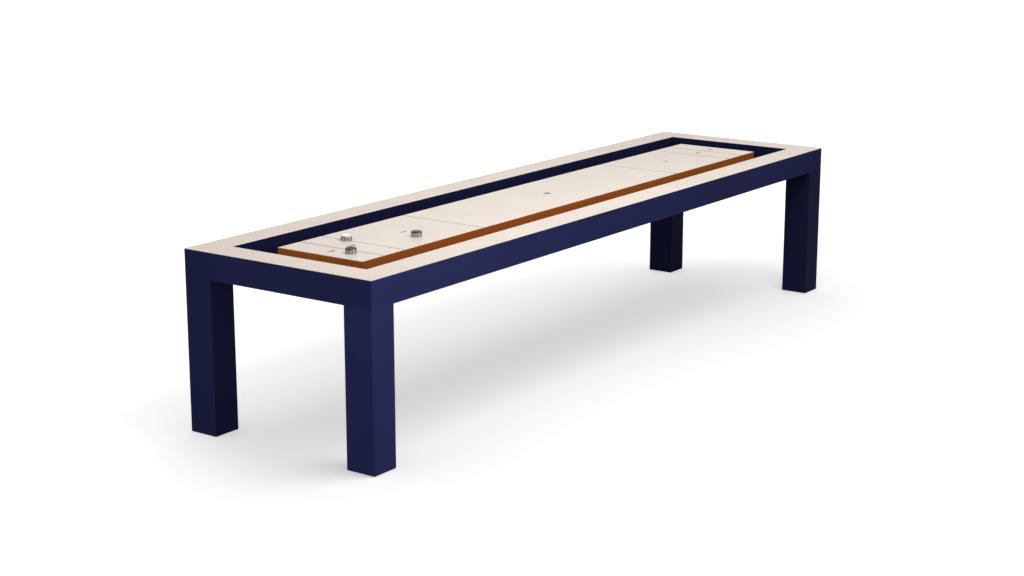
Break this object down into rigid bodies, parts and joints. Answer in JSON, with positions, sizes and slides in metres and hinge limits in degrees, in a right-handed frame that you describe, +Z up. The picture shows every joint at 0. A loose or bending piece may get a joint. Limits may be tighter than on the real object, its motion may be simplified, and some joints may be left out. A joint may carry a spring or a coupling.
{
  "type": "shuffleboard table",
  "caption": "Long shuffleboard table: a raised playing board in a gutter, framed by wide flat rails on box legs, with sliding pucks.",
  "frame": {"origin": "on the floor, under the centre of the table", "axes": "+X along the playing board, +Y across it, +Z up"},
  "size_m": [4.26, 1.11, 0.8928],
  "materials": {
    "navy_lacquer": "satin lacquer over a smooth panel",
    "cream_laminate": "fine matte laminate",
    "board_wood": "amber-stained maple, clear satin varnish",
    "bare_wood": "sanded, unfinished",
    "zinc_steel": "bright zinc plating",
    "hard_rubber": "moulded hard rubber",
    "foot_plastic": "moulded black nylon",
    "chrome": "polished chrome plating",
    "white_plastic": "glossy moulded plastic",
    "black_plastic": "glossy moulded plastic"
  },
  "bodies": {
    "cabinet": {"apron_front": "navy_lacquer", "liner_front": "navy_lacquer", "rail_core_front": "bare_wood", "rail_cap_front": "cream_laminate", "gutter_floor_front": "navy_lacquer", "apron_back": "navy_lacquer", "liner_back": "navy_lacquer", "rail_core_back": "bare_wood", "rail_cap_back": "cream_laminate", "gutter_floor_back": "navy_lacquer", "apron_left": "navy_lacquer", "liner_left": "navy_lacquer", "rail_core_left": "bare_wood", "rail_cap_left": "cream_laminate", "gutter_floor_left": "navy_lacquer", "apron_right": "navy_lacquer", "liner_right": "navy_lacquer", "rail_core_right": "bare_wood", "rail_cap_right": "cream_laminate", "gutter_floor_right": "navy_lacquer", "bearer_1": "bare_wood", "bearer_2": "bare_wood", "bearer_3": "bare_wood", "bearer_4": "bare_wood", "bearer_5": "bare_wood", "floor_cleats": "bare_wood", "corner_blocks": "bare_wood", "leg_front_left": "navy_lacquer", "leg_front_right": "navy_lacquer", "leg_back_left": "navy_lacquer", "leg_back_right": "navy_lacquer", "leg_blocks": "bare_wood", "threaded_inserts": "zinc_steel", "leg_bolts": "zinc_steel", "board_lag_screws": "zinc_steel", "adjuster_brackets": "zinc_steel", "adjuster_rods": "zinc_steel", "adjuster_nuts": "zinc_steel", "adjuster_screws": "zinc_steel", "board_core": "board_wood", "board_surface": "cream_laminate", "board_pads": "hard_rubber"},
    "foot_front_left": {"leveller_pad_front_left": "foot_plastic"},
    "foot_front_right": {"leveller_pad_front_right": "foot_plastic"},
    "foot_back_left": {"leveller_pad_back_left": "foot_plastic"},
    "foot_back_right": {"leveller_pad_back_right": "foot_plastic"},
    "foot_screw_front_left": {"leveller_stem_front_left": "zinc_steel"},
    "foot_screw_front_right": {"leveller_stem_front_right": "zinc_steel"},
    "foot_screw_back_left": {"leveller_stem_back_left": "zinc_steel"},
    "foot_screw_back_right": {"leveller_stem_back_right": "zinc_steel"},
    "turnbuckle_1": {"turnbuckle_1": "zinc_steel"},
    "turnbuckle_2": {"turnbuckle_2": "zinc_steel"},
    "turnbuckle_3": {"turnbuckle_3": "zinc_steel"},
    "turnbuckle_4": {"turnbuckle_4": "zinc_steel"},
    "puck_white": {"puck_weight_white": "chrome", "puck_cap_white": "white_plastic"},
    "puck_black_near": {"puck_weight_black_near": "chrome", "puck_cap_black_near": "black_plastic"},
    "puck_black_far": {"puck_weight_black_far": "chrome", "puck_cap_black_far": "black_plastic"}
  },
  "joints": [
    {"name": "foot_travel_front_left", "type": "slide", "parent": "cabinet", "child": "foot_front_left", "axis": [0, 0, -1], "range_m": [0, 0.025]},
    {"name": "foot_screw_turn_front_left", "type": "hinge", "parent": "foot_front_left", "child": "foot_screw_front_left", "pos_m": [-2.055, -0.476, 0.03], "axis": [0, 0, -1], "range_deg": [0, 6000]},
    {"name": "foot_travel_front_right", "type": "slide", "parent": "cabinet", "child": "foot_front_right", "axis": [0, 0, -1], "range_m": [0, 0.025]},
    {"name": "foot_screw_turn_front_right", "type": "hinge", "parent": "foot_front_right", "child": "foot_screw_front_right", "pos_m": [2.055, -0.476, 0.03], "axis": [0, 0, -1], "range_deg": [0, 6000]},
    {"name": "foot_travel_back_left", "type": "slide", "parent": "cabinet", "child": "foot_back_left", "axis": [0, 0, -1], "range_m": [0, 0.025]},
    {"name": "foot_screw_turn_back_left", "type": "hinge", "parent": "foot_back_left", "child": "foot_screw_back_left", "pos_m": [-2.055, 0.476, 0.03], "axis": [0, 0, -1], "range_deg": [0, 6000]},
    {"name": "foot_travel_back_right", "type": "slide", "parent": "cabinet", "child": "foot_back_right", "axis": [0, 0, -1], "range_m": [0, 0.025]},
    {"name": "foot_screw_turn_back_right", "type": "hinge", "parent": "foot_back_right", "child": "foot_screw_back_right", "pos_m": [2.055, 0.476, 0.03], "axis": [0, 0, -1], "range_deg": [0, 6000]},
    {"name": "turnbuckle_turn_1", "type": "hinge", "parent": "cabinet", "child": "turnbuckle_1", "pos_m": [-1.125, 0, 0.772], "axis": [0, 1, 0], "range_deg": [-360, 360]},
    {"name": "turnbuckle_turn_2", "type": "hinge", "parent": "cabinet", "child": "turnbuckle_2", "pos_m": [-0.375, 0, 0.772], "axis": [0, 1, 0], "range_deg": [-360, 360]},
    {"name": "turnbuckle_turn_3", "type": "hinge", "parent": "cabinet", "child": "turnbuckle_3", "pos_m": [0.375, 0, 0.772], "axis": [0, 1, 0], "range_deg": [-360, 360]},
    {"name": "turnbuckle_turn_4", "type": "hinge", "parent": "cabinet", "child": "turnbuckle_4", "pos_m": [1.125, 0, 0.772], "axis": [0, 1, 0], "range_deg": [-360, 360]},
    {"name": "puck_glide_white", "type": "slide", "parent": "cabinet", "child": "puck_white", "axis": [1, 0, 0], "range_m": [-0.281, 3.323]},
    {"name": "puck_glide_black_near", "type": "slide", "parent": "cabinet", "child": "puck_black_near", "axis": [1, 0, 0], "range_m": [-0.078, 0.2]},
    {"name": "puck_glide_black_far", "type": "slide", "parent": "cabinet", "child": "puck_black_far", "axis": [1, 0, 0], "range_m": [-0.18, 3.064]}
  ],
  "couplings": [
    {"joint": "foot_screw_turn_front_left", "follows": "foot_travel_front_left", "rad_per_m": 4188.8},
    {"joint": "foot_screw_turn_front_right", "follows": "foot_travel_front_right", "rad_per_m": 4188.8},
    {"joint": "foot_screw_turn_back_left", "follows": "foot_travel_back_left", "rad_per_m": 4188.8},
    {"joint": "foot_screw_turn_back_right", "follows": "foot_travel_back_right", "rad_per_m": 4188.8}
  ]
}
